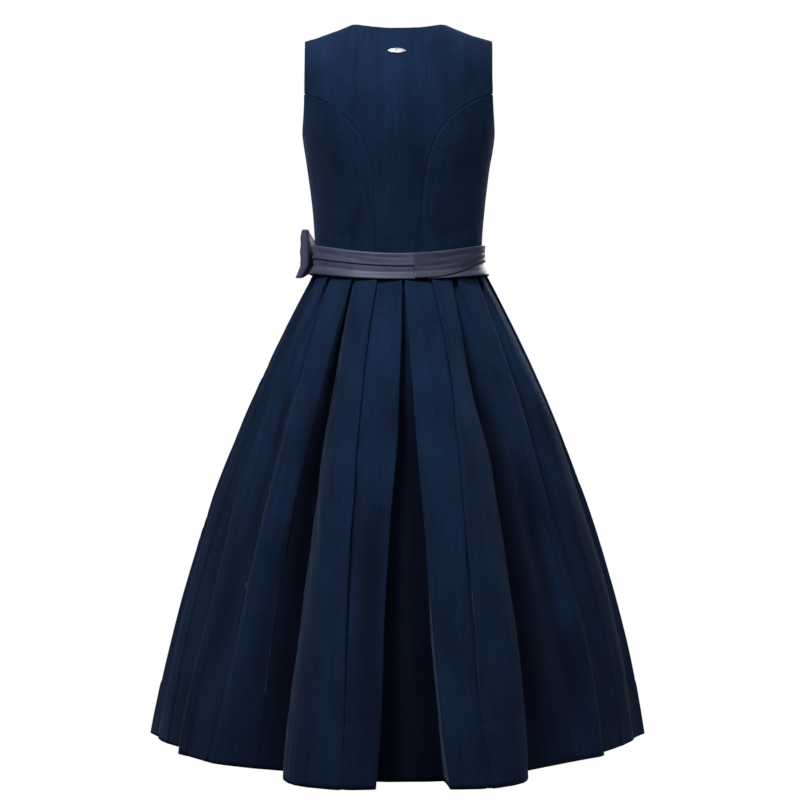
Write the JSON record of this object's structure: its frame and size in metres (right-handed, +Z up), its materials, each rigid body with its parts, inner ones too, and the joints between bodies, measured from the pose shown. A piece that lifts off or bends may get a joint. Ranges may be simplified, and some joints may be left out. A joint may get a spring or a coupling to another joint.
{
  "type": "sleeveless dirndl with tied apron, held in its worn form",
  "caption": "Sleeveless knee-length folk dress: fitted princess-seam bodice, pleated flared skirt, satin apron tied in a bow at the wearer's left, hollow as when worn.",
  "frame": {"origin": "midway between the two shoulder ridges, where the wearer's shoulders carry the dress", "axes": "+Z up along the dress, +X to the wearer's left, the wearer faces -Y"},
  "size_m": [0.812, 0.7133, 1.1544],
  "materials": {
    "navy_cloth": "matt, fine ribs",
    "mauve_satin": "satin",
    "pewter": "satin"
  },
  "bodies": {
    "root": {"back_centre": "navy_cloth", "back_side_left": "navy_cloth", "back_side_right": "navy_cloth", "front_side_left": "navy_cloth", "front_side_right": "navy_cloth", "front_left": "navy_cloth", "front_right": "navy_cloth", "skirt_back": "navy_cloth", "skirt_front": "navy_cloth", "apron": "mauve_satin", "sash_left": "mauve_satin", "sash_right": "mauve_satin", "sash_under_right": "mauve_satin", "sash_front": "mauve_satin", "bow_loop_back": "mauve_satin", "bow_loop_front": "mauve_satin", "bow_knot": "mauve_satin", "bow_tail_1": "mauve_satin", "bow_tail_2": "mauve_satin", "button_1": "pewter", "button_2": "pewter", "button_3": "pewter", "button_4": "pewter", "button_5": "pewter", "button_6": "pewter", "neck_plate": "pewter"}
  },
  "joints": []
}
